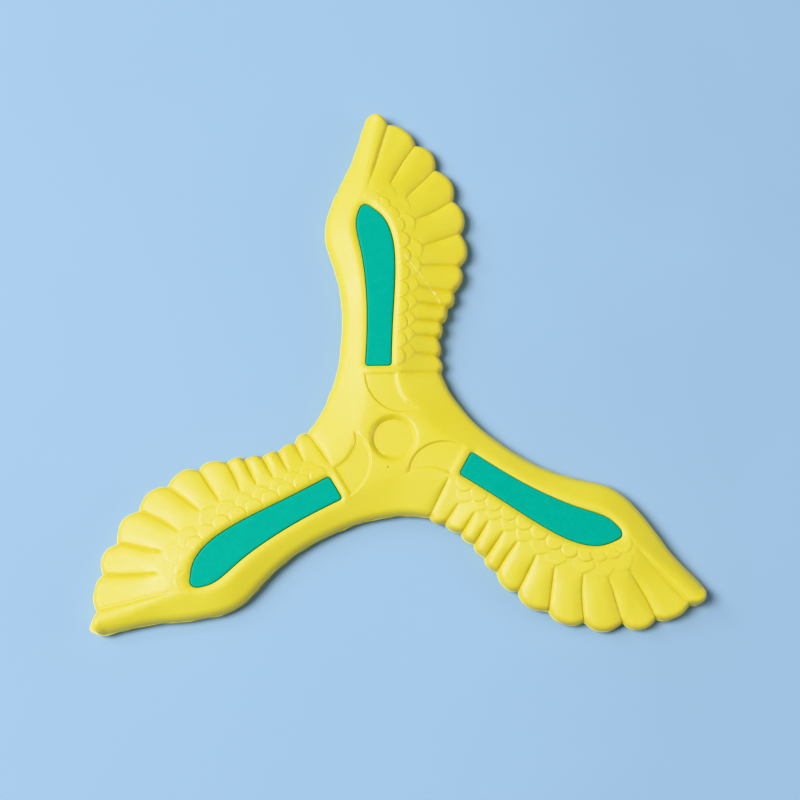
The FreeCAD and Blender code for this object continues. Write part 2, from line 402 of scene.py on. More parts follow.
FEATHER_ENDS: list[list[Point]] = [
    [(4.8, 145.2), (9.2, 142.5), (12.0, 138.9)],
    [(17.0, 135.0), (20.3, 132.0), (21.7, 127.8)],
    [(24.8, 122.5), (28.2, 119.3), (29.7, 114.6)],
    [(31.3, 107.6), (33.7, 103.3), (33.9, 98.2)],
    [(33.9, 90.7), (34.9, 86.6), (34.0, 82.1)],
    [(32.5, 76.0), (32.1, 72.4), (30.4, 69.2)],
    [(28.6, 65.0), (28.3, 62.4), (27.0, 60.4)],
    [(25.3, 57.6), (25.0, 55.4), (23.8, 53.4)],
    [(22.9, 50.6), (22.8, 48.3), (21.9, 46.3)],
    [(21.7, 43.2), (22.0, 40.8), (21.4, 38.3)],
    [(22.1, 35.2), (22.6, 32.9), (22.2, 31.2)],
]
GROOVES: list[list[Point]] = [
    [(-10.4, 111.5), (-7.5, 119.7), (-3.5, 133.0)],
    [(0.6, 115.2), (7.0, 127.5)],
    [(7.6, 108.9), (12.4, 114.8), (17.5, 120.0)],
    [(11.4, 99.2), (20.0, 103.5)],
    [(14.5, 87.0), (22.0, 90.0)],
    [(13.7, 78.0), (22.0, 78.4)],
    [(12.5, 68.5), (20.0, 67.3)],
    [(11.5, 61.0), (18.0, 60.4)],
    [(10.5, 53.2), (17.0, 52.9)],
    [(10.0, 46.3), (16.0, 46.0)],
    [(10.0, 38.3), (15.0, 37.9)],
    [(3.0, 29.3), (12.0, 29.6)],
]
GROOVE_DEPTHS = [0.5, 0.85, 0.85, 0.9, 0.9, 0.95, 1.1, 1.3, 1.3, 1.3, 1.3, 0.9]
GROOVE_WIDTHS = [3.8, 4.9, 5.4, 5.9, 6.0, 5.8, 4.6, 3.8, 3.7, 3.7, 3.7, 3.2]
# The covert scales beside the insert, each by its tip and the bearing it points to.
INNER_SCALES: list[tuple[float, float, float]] = [
    (6.3, 36.0, -4.0), (7.0, 43.6, -3.0), (7.5, 51.3, -3.0), (7.9, 58.9, -3.0), (8.4, 66.6, -3.0),
    (9.0, 74.4, -2.0), (9.5, 82.3, 2.0), (9.2, 90.0, 8.0), (7.1, 97.6, 18.0), (3.8, 103.7, 38.0),
    (-0.7, 108.9, 52.0), (-5.8, 112.0, 64.0),
]  # fmt: skip
INSERT_LEADING: list[Point] = [
    (-11.3, 33.6), (-10.6, 44.0), (-10.2, 57.0), (-10.8, 72.0), (-12.4, 84.5), (-14.1, 93.0),
    (-14.4, 99.0), (-13.3, 103.3),
]  # fmt: skip
INSERT_POINT: list[Point] = [(-13.3, 103.3), (-12.2, 105.3), (-10.4, 106.2), (-8.2, 105.3)]
INSERT_TRAILING: list[Point] = [
    (-8.2, 105.3), (-3.2, 101.0), (0.0, 95.2), (1.7, 88.0), (2.2, 79.0), (1.6, 65.0),
    (0.5, 50.0), (-0.3, 33.6),
]  # fmt: skip
INSERT_END, INSERT_CORNER = 32.5, 1.1
PETAL_OUTER: list[Point] = [
    (-12.3, 29.0), (-11.9, 25.0), (-10.0, 20.0), (-6.2, 15.2), (-1.0, 12.1), (4.0, 11.2),
    (8.0, 11.8), (11.4, 13.4),
]  # fmt: skip
PETAL_INNER: list[Point] = [
    (11.4, 13.4), (8.2, 14.8), (5.3, 17.6), (3.2, 21.4), (2.2, 25.6), (1.9, 29.0),
]  # fmt: skip
SPINE: list[Point] = [(4.0, 12.0), (4.6, 60.0), (4.4, 88.0), (0.0, 103.0), (-6.8, 116.0), (-5.6, 150.0)]
MOULD_MARKS: list[Point] = [(-6.0, 60.0), (-6.0, 112.0)]  # ejector marks under each wing
NUB, NUB_WING = (-4.6, 150.8), 2  # a gate left on the outline of one wing's tip
SHALLOW_GROOVE = 0.6  # a groove no deeper than this fades in slowly along the finger
UPPER_END = 100.0  # beyond this the covert scales are fainter

# Where rows of mesh points follow the shape, as distances in millimetres.
DISH_RINGS = [8.4, 8.52, 8.7, 8.95, 9.25, 9.6, 10.0, 10.4, 11.0]
CORNER_RINGS = [33.6, 34.5, 35.3, 35.9, 36.4, 36.8, 37.05]
UPPER_EDGE_ROWS = [0.1, 0.35, 0.75, 1.3, 2.0, 2.9, 4.0]
LOWER_EDGE_ROWS = [0.15, 0.6, 1.4, 2.6, 4.2]
RECESS_ROWS = [0.12, 0.3, 0.65, 1.15, 1.8, 2.7]
PETAL_ROWS = [-0.75, -0.4, -0.1, 0.12, 0.35, 0.6, 0.85, 1.15]
GROOVE_ROWS = [0.0, 0.25, -0.25, 0.6, -0.6, 1.1, -1.1, 1.75, -1.75]
SCALE_ROWS = [0.88, 0.935, 0.975, 1.01, 1.06]  # as shares of a scale's size
INSERT_ROWS = [0.06, 0.18, 0.34, 0.55, 0.9, 1.5]


class Side(Enum):
    """A side of the body."""

    UPPER = "detailed"
    LOWER = "plain"


@dataclass
class WingPlan:
    """The outlines of one wing and its third of the hub, sampled from the chosen points."""

    step: float = 0.7
    corners: np.ndarray = field(init=False)
    leading: np.ndarray = field(init=False)
    feathers: np.ndarray = field(init=False)
    grooves: list[np.ndarray] = field(init=False)
    insert: np.ndarray = field(init=False)
    petal: np.ndarray = field(init=False)
    spine: np.ndarray = field(init=False)

    def __post_init__(self) -> None:
        """Sample every curve once."""
        bearings = (CORNER_BEARING, CORNER_BEARING + TURN)
        self.corners = np.array([(math.cos(b), math.sin(b)) for b in bearings]) * CORNER_RADIUS
        feather_corner, leading_corner = [(float(c[0]), float(c[1])) for c in self.corners]
        self.leading = smooth_path([leading_corner, *LEADING_EDGE], self.step)
        notches = [*NOTCHES, feather_corner]
        lobes = [smooth_path(TIP_END, self.step)]
        for ends, outer, inner in zip(FEATHER_ENDS, notches, notches[1:]):
            lobes.append(smooth_path([outer, *ends, inner], self.step * 0.85))
        self.feathers = joined(*lobes)
        self.grooves = [smooth_path([*g, n], 0.5) for g, n in zip(GROOVES, notches)]
        self.insert = self.insert_outline()
        self.petal = joined(
            smooth_path(PETAL_OUTER, 0.5),
            smooth_path(PETAL_INNER, 0.5),
            straight_path([PETAL_INNER[-1], PETAL_OUTER[0]], 0.5),
        )[:-1]
        self.spine = smooth_path(SPINE, 1.0)

    def insert_outline(self) -> np.ndarray:
        """The insert's closed outline, clockwise from the foot of its leading side."""
        left, right = INSERT_LEADING[0], INSERT_TRAILING[-1]
        angles = np.linspace(0, math.pi / 2, 4)
        foot, end = INSERT_CORNER, INSERT_END
        right_corner = [
            (right[0] - foot * (1 - math.cos(a)), end + foot * (1 - math.sin(a))) for a in angles
        ]
        left_corner = [
            (left[0] + foot * (1 - math.sin(a)), end + foot * (1 - math.cos(a))) for a in angles
        ]
        square_end = straight_path([right_corner[-1], left_corner[0]], 0.6)
        loop = joined(
            smooth_path(INSERT_LEADING, 0.6),
            smooth_path(INSERT_POINT, 0.4),
            smooth_path(INSERT_TRAILING, 0.6),
            np.array(right_corner),
            square_end,
            np.array(left_corner),
        )
        return loop[:-1]

    def outline(self) -> np.ndarray:
        """From the feather corner round the tip to the leading corner."""
        return joined(self.feathers[::-1], self.leading[::-1])


# ---------------------------------------------------------------- pieces


def offset_row(path: np.ndarray, distance: float, closed: bool = False) -> np.ndarray:
    """Move a path's samples to its left.

    Args:
        path: The samples in order.
        distance: How far to move them; less than zero moves them to the right.
        closed: Whether the last joins the first.

    Returns:
        The moved samples.
    """
    return path + left_normals(path, closed) * distance


def new_piece(
    name: str, points: np.ndarray, faces: np.ndarray, marks: dict[str, np.ndarray]
) -> bpy.types.Object:
    """A smooth-shaded mesh object from points in millimetres.

    Args:
        name: The piece's name.
        points: Points in space, in millimetres.
        faces: Corner numbers of each triangle.
        marks: Values for each point, kept as named attributes for the materials.

    Returns:
        The linked object.
    """
    mesh = bpy.data.meshes.new(name)
    mesh.from_pydata((points * MM).tolist(), [], faces.tolist())
    for mark, values in marks.items():
        mesh.attributes.new(mark, "FLOAT", "POINT").data.foreach_set("value", values.astype(np.float32))
    mesh.shade_smooth()
    mesh.set_sharp_from_angle(angle=SHARP_ANGLE)
    mesh.update()
    piece = bpy.data.objects.new(name, mesh)
    bpy.context.collection.objects.link(piece)
    return piece


@dataclass
class Third:
    """One third of the plan as triangles, with the point numbers of its three sides.

    The spokes run from the hub outwards and the rim from the feather corner to the leading corner.
    """

    points: np.ndarray
    faces: np.ndarray
    feather_spoke: np.ndarray
    leading_spoke: np.ndarray
    rim: np.ndarray


@dataclass
class Whole:
    """Three thirds joined into one sheet of triangles."""

    points: np.ndarray
    faces: np.ndarray
    outline: np.ndarray  # point numbers, anticlockwise
    source: np.ndarray  # the number that each point had in its third
    third: Third


@dataclass
class CovertScale:
    """One of the small overlapping feathers beside the insert."""

    beside_insert: bool
    tip: np.ndarray
    way: np.ndarray  # the unit direction it points in
    half_width: float

    @property
    def power(self) -> float:
        """How square its rounded end is: 2 for a circle, less for a point."""
        return 2.0 if self.beside_insert else 1.55


@dataclass
class FoamBody:
    """The one-shot moulded foam body: hub, three wings and the recesses for the inserts."""

    plan: WingPlan
    top: float  # highest point of the upper side
    insert_face: float  # height of the inserts' faces
    recess_floor: float
    headroom: float = 0.1  # how far the plain crown lies below the highest point
    insert_proud: float = 0.1  # how far an insert's face stands above the foam beside it
    parting: float = 4.0  # height of the mould's parting line
    insert_gap: float = 0.24
    dish_floor_radius: float = 8.4
    dish_radius: float = 10.8
    dish_depth: float = 2.0
    petal_depth: float = 0.75
    slope: float = 0.162  # fall from the wing's crest to the feathers' ends
    feather_round: float = 2.0
    under_round: float = 4.2
    scale_length: float = 3.9
    groove_cut: float = 0.62
    finger_step: float = 0.7  # how far the first feather lies below the leading finger
    flash_width: float = 0.34
    flash_half: float = 0.13

    def scale_places(self) -> list[CovertScale]:
        """Where the covert scales lie, with the row under the feathers' roots first."""
        places = []
        for number, groove in enumerate(self.plan.grooves[1:-1], start=1):
            way = groove[6] - groove[0]
            way = way / math.hypot(*way)
            places.append(CovertScale(False, groove[0] + 0.3 * way, way, 4.0 if number > 5 else 4.9))
        for x, y, bearing in INNER_SCALES:
            angle = math.radians(bearing)
            way = np.array([math.cos(angle), math.sin(angle)])
            places.append(CovertScale(True, np.array([x, y]), way, 3.85))
        return places

    def scales(self, local: np.ndarray) -> tuple[np.ndarray, np.ndarray]:
        """Relief of the overlapping scales.

        Args:
            local: Plan points in the wing's frame.

        Returns:
            Heights, and a mark from 0 to 1 along the scales' edges.
        """
        relief = np.zeros(len(local))
        edge = np.zeros(len(local))
        for scale in self.scale_places():
            gap = local - (scale.tip - scale.way * self.scale_length)
            ahead = gap @ scale.way
            aside = np.abs(gap[:, 0] * scale.way[1] - gap[:, 1] * scale.way[0])
            stretch = aside * self.scale_length / scale.half_width
            reach = (np.abs(ahead) ** scale.power + stretch**scale.power) ** (1 / scale.power)
            near = (np.abs(reach - self.scale_length) < 3) & (ahead > -2.5)
            rise = 0.10 + 0.22 * np.clip(ahead / self.scale_length, 0, 1)
            rise += 0.16 if scale.beside_insert else 0.0
            rise *= 1.0 if scale.tip[1] < UPPER_END else 0.6
            plate = rise * (1 - eased(reach, self.scale_length - 0.45, self.scale_length + 0.05))
            under = relief * (0.55 if scale.beside_insert else 1.0)
            relief = np.where(plate > 0, np.maximum(under, plate), relief)
            line = ridge(reach - self.scale_length - 0.05, 0.35) * eased(ahead, -1.0, 1.2)
            edge = np.maximum(edge, line * near * (1.0 if scale.tip[1] < UPPER_END else 0.5))
        return relief, edge

    def fall(self, local: np.ndarray) -> np.ndarray:
        """How far the crown drops from the wing's spine to its feathers and to its tip."""
        near, along = distance_to(local, self.plan.spine)
        runs = np.gradient(self.plan.spine, axis=0)
        start = np.minimum(along.astype(int), len(runs) - 1)
        toward = local - self.plan.spine[start]
        right = runs[start, 1] * toward[:, 0] - runs[start, 0] * toward[:, 1] > 0
        drop = self.slope * np.where(right, near, 0.0)
        return -drop * eased(local[:, 1], 22.0, 42.0) - 1.7 * eased(local[:, 1], 112.0, 153.0)

    def groove(self, local: np.ndarray, level: np.ndarray) -> np.ndarray:
        """Press the grooves between the feathers, and the step beside the leading finger.

        Args:
            local: Plan points in the wing's frame.
            level: Their change in height so far, which is altered.

        Returns:
            A mark from 0 to 1 along the grooves.
        """
        mark = np.zeros(len(local))
        for path, depth, width in zip(self.plan.grooves, GROOVE_DEPTHS, GROOVE_WIDTHS):
            off, run = distance_to(local, path)
            fade = 17.0 if depth < SHALLOW_GROOVE else 2.2
            level -= depth * np.clip(1 - off / width, 0, 1) ** 2 * eased(run, 0.0, 9.0)
            level -= self.groove_cut * np.clip(1 - off / 1.25, 0, 1) ** 1.6 * eased(run, 0.0, fade)
            mark = np.maximum(mark, ridge(off, 0.45) * eased(run, 0, fade))
        finger = self.plan.grooves[0]
        past = local[:, 0] - np.interp(local[:, 1], finger[:, 1], finger[:, 0])
        stepped = eased(past, -0.2, 0.7) * (1 - eased(past, 1.0, 17.0)) * eased(local[:, 1], 113.0, 127.0)
        level -= self.finger_step * stepped
        return mark

    def bank(self, local: np.ndarray, level: np.ndarray) -> np.ndarray:
        """Lead the crown down to the insert's face all round its recess.

        Args:
            local: Plan points in the wing's frame.
            level: Their change in height so far, which is altered.

        Returns:
            A mark from 0 to 1 along the recess.
        """
        off, _ = distance_to(local, closed_up(self.plan.insert))
        off = np.where(inside(local, self.plan.insert), 0.0, np.maximum(off - self.insert_gap, 0.0))
        width = np.where(local[:, 0] < -5.5, 3.8, 2.7)
        width = np.where(local[:, 1] < INSERT_END, 2.0, width)
        share = np.clip(1 - off / width, 0, 1) ** 2
        sunk = self.top - self.headroom + level - (self.insert_face - self.insert_proud)
        level -= np.maximum(sunk, 0.0) * share + 0.16 * np.clip(1 - off / 0.3, 0, 1) ** 2
        return 0.8 * ridge(off, 0.5)

    def petal(self, local: np.ndarray, level: np.ndarray) -> np.ndarray:
        """Sink the crescent recess beside the hub.

        Args:
            local: Plan points in the wing's frame.
            level: Their change in height so far, which is altered.

        Returns:
            A mark from 0 to 1 along the recess's steep wall.
        """
        off, _ = distance_to(local, closed_up(self.plan.petal))
        deep = np.where(inside(local, self.plan.petal), off, -off)
        soft = distance_to(local, smooth_path(PETAL_INNER[1:], 0.5))[0] < off + 0.05
        straight = np.abs(local[:, 1] - PETAL_INNER[-1][1]) < off + 0.05
        sunk = np.where(soft, eased(deep, -0.75, 1.15), eased(deep, -0.1, 0.8))
        level -= self.petal_depth * np.where(straight, eased(deep, -0.7, 1.2), sunk)
        return 0.5 * ridge(deep - 0.55, 0.35) * ~soft

    def wing_relief(self, local: np.ndarray) -> tuple[np.ndarray, np.ndarray]:
        """What one wing adds to the body's crown at points in that wing's own frame.

        Args:
            local: Plan points in the wing's frame.

        Returns:
            The change in height, and a mark from 0 to 1 for creases, which the finish darkens as painted
            shade.
        """
        change = np.zeros(len(local))
        crease = np.zeros(len(local))
        busy = (local[:, 1] > 4.0) & (np.abs(local[:, 0]) < 45.0)
        if busy.any():
            near = local[busy]
            level = self.fall(near)
            mark = self.groove(near, level)
            relief, edge = self.scales(near)
            level += relief
            mark = np.maximum(mark, 0.55 * edge)
            mark = np.maximum(mark, self.bank(near, level))
            mark = np.maximum(mark, self.petal(near, level))
            change[busy], crease[busy] = level, mark
        return change, crease

    def upper(self, points: np.ndarray) -> tuple[np.ndarray, np.ndarray, np.ndarray]:
        """Height of the upper side.

        Args:
            points: Plan points.

        Returns:
            Heights, the crease mark that the finish darkens as painted shade, and the rim mark for the
            painted edge shade: 1 at the outline and 0 well inside it.
        """
        crown = np.full(len(points), self.top - self.headroom)
        crease = np.zeros(len(points))
        lead = np.full(len(points), FAR)
        nose = np.full(len(points), 10.0)
        trail = np.full(len(points), FAR)
        for wing in range(WINGS):
            local = rotated(points, -wing)
            change, mark = self.wing_relief(local)
            crown += change
            crease = np.maximum(crease, mark)
            off, run = distance_to(local, self.plan.leading)
            width = 19.0 - 8.2 * eased(run, 0.0, 50.0) - 5.4 * eased(run, 112.0, 158.0)
            nose = np.where(off < lead, width, nose)
            lead = np.minimum(lead, off)
            trail = np.minimum(trail, distance_to(local, self.plan.feathers)[0])
        radius = np.hypot(*points.T)
        wall = (radius - self.dish_floor_radius) / (self.dish_radius - self.dish_floor_radius)
        crown -= self.dish_depth * (1 - np.clip(wall, 0, 1)) ** 1.35
        # painted shade: a darker ring where the dish's wall meets its floor
        crease = np.maximum(crease, 0.9 * ridge(radius - self.dish_floor_radius, 0.45))
        edge = chamfered(lead, nose, 2.6, 0.46) * round_over(trail, self.feather_round)
        # painted shade: the rim mark tints the foam orange towards the outline, more narrowly on the leading
        # side
        rim = 1 - eased(np.minimum(lead * 2.4, trail), 0.2, 3.2)
        base = self.parting + self.flash_half
        return base + (crown - base) * edge, crease, rim

    def lower(self, points: np.ndarray) -> np.ndarray:
        """Height of the underside, flat but for its rounded edge and shallow mould marks.

        Args:
            points: Plan points.

        Returns:
            Heights.
        """
        off = np.full(len(points), FAR)
        marks = np.zeros(len(points))
        for wing in range(WINGS):
            local = rotated(points, -wing)
            off = np.minimum(off, distance_to(local, self.plan.leading)[0])
            off = np.minimum(off, distance_to(local, self.plan.feathers)[0])
            for centre in MOULD_MARKS:
                reach = np.hypot(*(local - np.array(centre)).T)
                marks = np.maximum(marks, 0.22 * (1 - eased(reach, 2.9, 3.3)))
        reach = np.hypot(*points.T)
        marks = np.maximum(marks, 0.5 * (1 - eased(reach, 3.6, 4.3)))
        marks -= 0.35 * (1 - eased(reach, 0.9, 1.5))
        base = self.parting - self.flash_half
        return base * (1 - round_over(off, self.under_round)) + marks * (off > 3)

    def spokes(self, distances: np.ndarray) -> tuple[np.ndarray, np.ndarray]:
        """The two straight sides of a third, from the hub's axis to its corners.

        Args:
            distances: How far each point lies from the axis.

        Returns:
            The points of the side that ends at the feathers, and of the one at the leading edge.
        """
        feather_way, leading_way = self.plan.corners / CORNER_RADIUS
        return distances[:, None] * feather_way, distances[:, None] * leading_way

    def upper_rows(self) -> list[tuple[np.ndarray, float]]:
        """Rows of mesh points that follow the upper side's detail, each with its spacing."""
        rows = []
        rim = offset_row(self.plan.insert, self.insert_gap, closed=True)
        for depth in RECESS_ROWS:
            rows.append((offset_row(rim, depth, closed=True), 0.5 * min(depth, 0.7)))
        for inward in PETAL_ROWS:
            rows.append((offset_row(self.plan.petal, inward, closed=True), 0.15))
        spread = np.linspace(0, TURN, 67)[1:-1] + CORNER_BEARING
        for radius in DISH_RINGS:
            rows.append((np.column_stack([np.cos(spread), np.sin(spread)]) * radius, 0.11))
        for groove in self.plan.grooves:
            for side in GROOVE_ROWS:
                rows.append((offset_row(groove, side), 0.2))
        sweep = np.radians(np.arange(-96, 97, 5))
        for scale in self.scale_places():
            along, across = np.cos(sweep), np.sin(sweep)
            along = np.sign(along) * np.abs(along) ** (2 / scale.power) * self.scale_length
            across = np.sign(across) * np.abs(across) ** (2 / scale.power) * scale.half_width
            aside = np.array([-scale.way[1], scale.way[0]])
            for share in SCALE_ROWS:
                arc = np.outer(along * share - self.scale_length, scale.way)
                arc += np.outer(across * share, aside) + scale.tip
                rows.append((arc, 0.17))
        feathered = hex_grid((-30, 28), (37, 152), 0.8)
        clear, _ = distance_to(feathered, self.plan.leading)
        wanted = (clear > 9.5) & ((feathered[:, 0] > 1.0) | (feathered[:, 1] > 104.0))
        rows.append((feathered[wanted], 0.55))
        return rows

    def edge_rows(self, side: Side) -> list[tuple[np.ndarray, float]]:
        """Rows of mesh points along the outline.

        Args:
            side: The side of the body.

        Returns:
            The rows, each with its spacing.
        """
        rows = []
        for depth in UPPER_EDGE_ROWS if side is Side.UPPER else LOWER_EDGE_ROWS:
            gap = 0.5 * min(depth, 0.9)
            rows.append((offset_row(self.plan.feathers, -depth), max(gap * 0.8, 0.06)))
            rows.append((offset_row(self.plan.leading, -depth * 1.6), max(gap, 0.08)))
        return rows

    def third(self, side: Side) -> Third:
        """Triangulate one third of the plan.

        Args:
            side: The side of the body that it is for; the upper one has its recess cut out finely.

        Returns:
            The third, without triangles that lie wholly on a spoke or run backwards on the rim.
        """
        mesh = PlanMesh()
        upper = side is Side.UPPER
        middle = np.concatenate([np.linspace(11.6, 23.0, 24), np.linspace(23.8, 32.6, 11)])
        distances = np.concatenate([np.linspace(0, 8.0, 7), DISH_RINGS, middle, CORNER_RINGS])
        feather_side, leading_side = self.spokes(distances)
        outline = self.plan.outline()
        loop = np.vstack([feather_side, outline, leading_side[:0:-1]])
        numbers = mesh.path(loop, closed=True)
        last = len(distances) + len(outline)
        feather_spoke, rim = numbers[: len(distances)], numbers[len(distances) : last]
        leading_spoke = [numbers[0], *numbers[: last - 1 : -1]]

        hole = offset_row(self.plan.insert, self.insert_gap, closed=True)
        candidates = self.edge_rows(side)
        if upper:
            mesh.path(hole, closed=True)
            mesh.path(offset_row(hole, -0.03, closed=True), closed=True)
            candidates += self.upper_rows()
        candidates.append((hex_grid((-38, 0), (38, 152), 1.4 if upper else 2.6), 0.95 if upper else 1.4))
        for points, spacing in candidates:
            points = points[inside(points, loop)]
            for spoke in (feather_side, leading_side):
                points = points[distance_to(points, spoke[[0, -1]])[0] > 0.22]
            if upper and len(points):
                points = points[~inside(points, hole)]
            mesh.fill(points, spacing)
        points, faces, place = mesh.triangles()
        faces = facing(points, faces[inside(points[faces].mean(axis=1), loop)])
        sides = [np.array([place[n] for n in side]) for side in (feather_spoke, leading_spoke, rim)]
        for spoke in sides[:2]:
            faces = faces[~np.isin(faces, spoke).all(axis=1)]
        ring = np.array([place[n] for n in numbers])
        backwards = np.roll(ring, -1) * len(points) + ring
        for i, j in ((0, 1), (1, 2), (2, 0)):
            faces = faces[~np.isin(faces[:, i] * len(points) + faces[:, j], backwards)]
        return Third(points, faces, *sides)

    def whole(self, side: Side) -> Whole:
        """Join three thirds into one sheet, with the points on their spokes shared.

        Args:
            side: The side of the body that the sheet is for.

        Returns:
            The sheet.
        """
        third = self.third(side)
        hub, *spoke = third.leading_spoke
        corner, count = third.rim[-1], len(third.points)
        kept = np.setdiff1d(np.arange(count), [*spoke, corner])
        table = np.full((WINGS, count), -1)
        sheets, sources = [], []
        total = 0
        for wing in range(WINGS):
            used = kept if wing == 0 else np.setdiff1d(kept, [hub])
            table[wing, used] = np.arange(len(used)) + total
            total += len(used)
            sheets.append(rotated(third.points[used], wing))
            sources.append(used)
        for wing in range(WINGS):
            before = (wing - 1) % WINGS
            table[wing, hub] = table[0, hub]
            table[wing, spoke] = table[before, third.feather_spoke[1:]]
            table[wing, corner] = table[before, third.rim[0]]
        faces = np.vstack([table[wing][third.faces] for wing in range(WINGS)])
        outline = np.concatenate([table[wing][third.rim[:-1]] for wing in (0, 2, 1)])
        return Whole(np.vstack(sheets), faces, outline, np.concatenate(sources), third)

    def heights(self, source: np.ndarray) -> tuple[np.ndarray, np.ndarray, np.ndarray]:
        """What upper gives, with the recess floor sunk.

        Args:
            source: Plan points of a third.

        Returns:
            Heights, crease marks and rim marks.
        """
        height, crease, rim = self.upper(source)
        floor = offset_row(self.plan.insert, self.insert_gap - 0.015, closed=True)
        sunk = inside(source, floor)
        height[sunk] = self.recess_floor
        crease[sunk] = 1.0
        return height, crease, rim

    def lip(self, outline: np.ndarray) -> np.ndarray:
        """How far the flash along the parting line stands out.

        Args:
            outline: Points of the whole outline.

        Returns:
            One width for each point.
        """
        uneven = ripple(outline, 9.0, seed=31)
        width = self.flash_width * np.clip(0.75 + 0.5 * uneven, 0.25, 1.5)
        nub = rotated(np.array([NUB]), NUB_WING)[0]
        return width + 1.3 * ridge(np.hypot(*(outline - nub).T), 1.7)

    def build(self) -> bpy.types.Object:
        """The whole body as one closed mesh."""
        up, low = self.whole(Side.UPPER), self.whole(Side.LOWER)
        height, crease, rim = (values[up.source] for values in self.heights(up.third.points))
        softness = np.clip((height - self.parting - 0.5) / 3.0, 0, 1)
        height = height + 0.045 * softness * ripple(up.points, 26.0, seed=5)
        outline = up.points[up.outline]
        outer = outline - left_normals(outline, closed=True) * self.lip(outline)[:, None]
        half = self.flash_half * 0.6
        points = np.vstack([
            np.column_stack([up.points, height]),
            np.column_stack([low.points, self.lower(low.third.points)[low.source]]),
            np.column_stack([outer, np.full(len(outer), self.parting + half)]),
            np.column_stack([outer, np.full(len(outer), self.parting - half)]),
        ])
        count_up = len(up.points)
        lips = count_up + len(low.points)
        upper_lip = np.arange(len(outer)) + lips
        rings = [up.outline, upper_lip, upper_lip + len(outer), low.outline + count_up]
        faces = [up.faces, low.faces[:, ::-1] + count_up]
        faces += [band(a, b) for a, b in zip(rings, rings[1:])]
        # the rim mark carries the painted edge shade: on the upper side as drawn, none on the underside
        creases, painted_edge_shades, flash = np.zeros(len(points)), np.ones(len(points)), np.zeros(len(points))
        creases[:count_up], painted_edge_shades[:count_up] = crease, rim
        painted_edge_shades[count_up:lips] = 0.0
        flash[lips:] = 1.0
        marks = {"crease": creases, "rim": painted_edge_shades, "flash": flash}
        return new_piece("foam_body_skin", points, np.vstack(faces), marks)


def band(ring: np.ndarray, outer: np.ndarray) -> np.ndarray:
    """Triangles between two closed rings of as many points.

    Args:
        ring: Point numbers of the inner ring.
        outer: Point numbers of the outer ring.

    Returns:
        Two triangles for each step.
    """
    ring_next, outer_next = np.roll(ring, -1), np.roll(outer, -1)
    first = np.column_stack([ring, outer, outer_next])
    second = np.column_stack([ring, outer_next, ring_next])
    return np.vstack([first, second])


@dataclass
class FoamInsert:
    """A die-cut sheet-foam insert that lies in a wing's recess."""

    plan: WingPlan
    wing: int
    face: float
    underside: float
    edge_round: float = 0.5

    def build(self) -> bpy.types.Object:
        """The insert as one closed mesh with a rounded upper edge."""
        mesh = PlanMesh()
        loop = self.plan.insert[::-1]
        mesh.path(loop, closed=True)
        for depth in INSERT_ROWS:
            row = offset_row(loop, depth, closed=True)
            mesh.fill(row[inside(row, loop)], 0.75 * min(depth, 0.5))
        grid = hex_grid((-16, 30), (4, 108), 1.2)
        mesh.fill(grid[inside(grid, loop)], 0.8)
        flat, faces, place = mesh.triangles()
        rim = np.array([place[n] for n in range(len(loop))])
        faces = facing(flat, faces[inside(flat[faces].mean(axis=1), loop)])
        off, _ = distance_to(flat, closed_up(loop))
        soft = round_over(off, self.edge_round)
        height = self.face - self.edge_round * (1 - soft)
        height += 0.05 * eased(off, 0.0, 3.0) * ripple(flat, 15.0, seed=11 + self.wing)
        count = len(flat)
        base = np.arange(len(rim)) + count
        lower = np.column_stack([flat[rim], np.full(len(rim), self.underside)])
        points = np.vstack([np.column_stack([flat, height]), lower])
        underside = self.close_underside(flat[rim], base)
        points[:, :2] = rotated(points[:, :2], self.wing)
        # painted highlight: a paler tint along the insert's edges through its rim mark; its crease mark only
        # roughens them
        painted_edge_highlight = np.zeros(len(points))
        painted_edge_highlight[:count] = 1 - eased(off, 0.0, 0.8)
        painted_edge_highlight[count:] = 1.0
        all_faces = np.vstack([faces, band(rim, base), underside])
        return new_piece(f"insert_{self.wing + 1}_pad", points, all_faces, {"crease": painted_edge_highlight, "rim": painted_edge_highlight})

    @staticmethod
    def close_underside(ring: np.ndarray, numbers: np.ndarray) -> np.ndarray:
        """Triangles that close a ring from below.

        Args:
            ring: The ring's plan points, anticlockwise.
            numbers: Their numbers in the piece.

        Returns:
            The triangles, facing down.
        """
        edges = [(i, (i + 1) % len(ring)) for i in range(len(ring))]
        made = delaunay_2d_cdt([Vector(p) for p in ring], edges, [], 1, 1e-7)
        back = np.array([old[0] for old in made[3]])
        faces = facing(ring[back], np.array(made[2]), up=False)
        return numbers[back[faces]]


# ---------------------------------------------------------------- finishes


